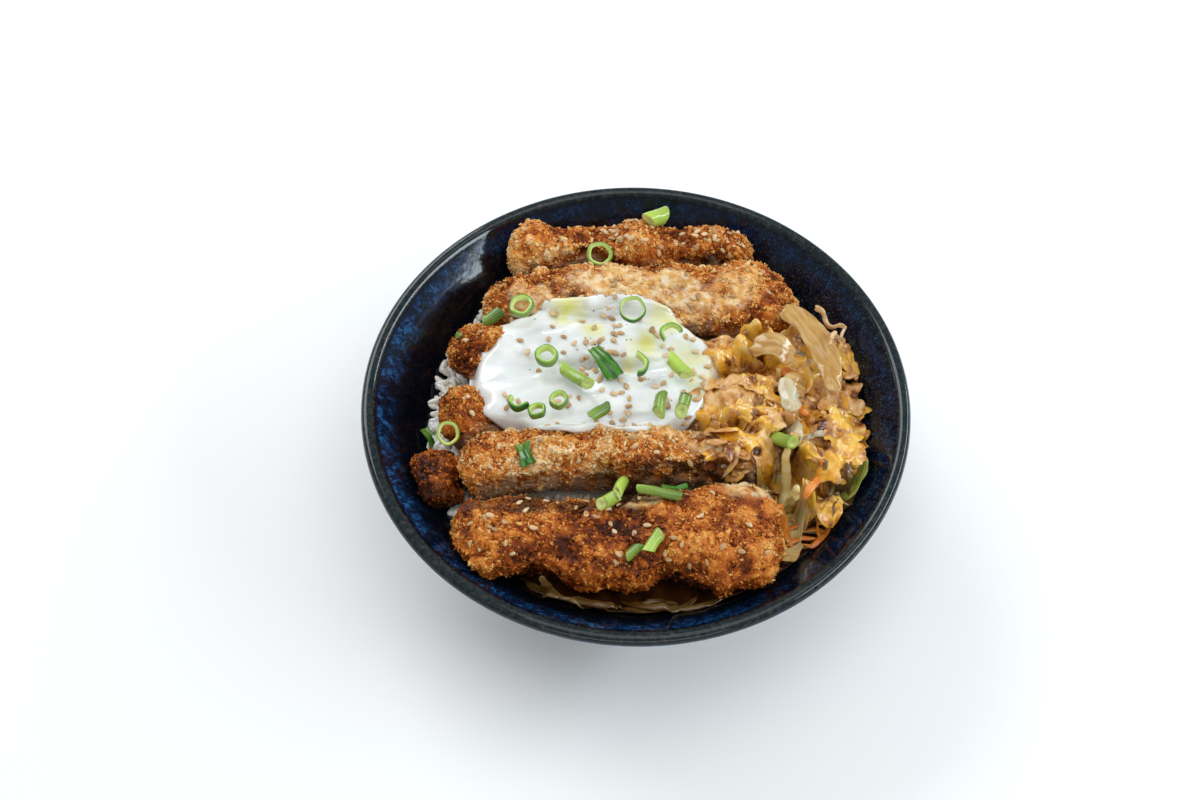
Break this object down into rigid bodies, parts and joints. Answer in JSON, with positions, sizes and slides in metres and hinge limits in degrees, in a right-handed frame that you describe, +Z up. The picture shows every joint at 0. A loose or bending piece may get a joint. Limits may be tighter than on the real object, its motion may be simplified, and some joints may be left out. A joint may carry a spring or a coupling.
{
  "type": "katsudon",
  "caption": "Breaded pork cutlet strips, soft egg, onion and cut spring onion over boiled rice in a wide dark-blue glazed stoneware bowl.",
  "frame": {"origin": "under the middle of the bowl's foot ring, where it stands", "axes": "+X to the right of the diner, +Y away from the diner, +Z up"},
  "size_m": [0.21, 0.21, 0.0815],
  "materials": {
    "dark_blue_glaze": "gloss",
    "boiled_rice": "satin",
    "fried_crumb": "matte",
    "soft_egg_white": "gloss",
    "cooked_egg": "satin",
    "spring_onion": "satin",
    "carrot": "satin",
    "simmered_onion": "gloss",
    "leek": "satin"
  },
  "bodies": {
    "root": {"bowl": "dark_blue_glaze", "carrot_1": "carrot", "carrot_2": "carrot", "carrot_3": "carrot", "carrot_4": "carrot", "egg_1": "cooked_egg", "egg_2": "cooked_egg", "egg_3": "cooked_egg", "egg_4": "cooked_egg", "egg_5": "cooked_egg", "egg_6": "cooked_egg", "egg_white": "soft_egg_white", "katsu_1": "fried_crumb", "katsu_2": "fried_crumb", "katsu_3": "fried_crumb", "katsu_4": "fried_crumb", "katsu_5": "fried_crumb", "katsu_6": "fried_crumb", "katsu_7": "fried_crumb", "leek_1": "leek", "onion_1": "simmered_onion", "onion_2": "simmered_onion", "onion_3": "simmered_onion", "onion_4": "simmered_onion", "onion_5": "simmered_onion", "onion_6": "simmered_onion", "onion_7": "simmered_onion", "onion_8": "simmered_onion", "rice": "boiled_rice", "scallion_curl_1": "spring_onion", "scallion_curl_2": "spring_onion", "scallion_curl_3": "spring_onion", "scallion_leaf_1": "spring_onion", "scallion_leaf_2": "spring_onion", "scallion_leaf_3": "spring_onion", "scallion_leaf_4": "spring_onion", "scallion_leaf_5": "spring_onion", "scallion_plug_1": "spring_onion", "scallion_plug_10": "spring_onion", "scallion_plug_11": "spring_onion", "scallion_plug_12": "spring_onion", "scallion_plug_13": "spring_onion", "scallion_plug_2": "spring_onion", "scallion_plug_3": "spring_onion", "scallion_plug_4": "spring_onion", "scallion_plug_5": "spring_onion", "scallion_plug_6": "spring_onion", "scallion_plug_7": "spring_onion", "scallion_plug_8": "spring_onion", "scallion_plug_9": "spring_onion", "scallion_ring_1": "spring_onion", "scallion_ring_2": "spring_onion", "scallion_ring_3": "spring_onion", "scallion_ring_4": "spring_onion", "scallion_ring_5": "spring_onion", "scallion_ring_6": "spring_onion", "scallion_ring_7": "spring_onion", "shred_1": "simmered_onion", "shred_2": "simmered_onion"}
  },
  "joints": []
}
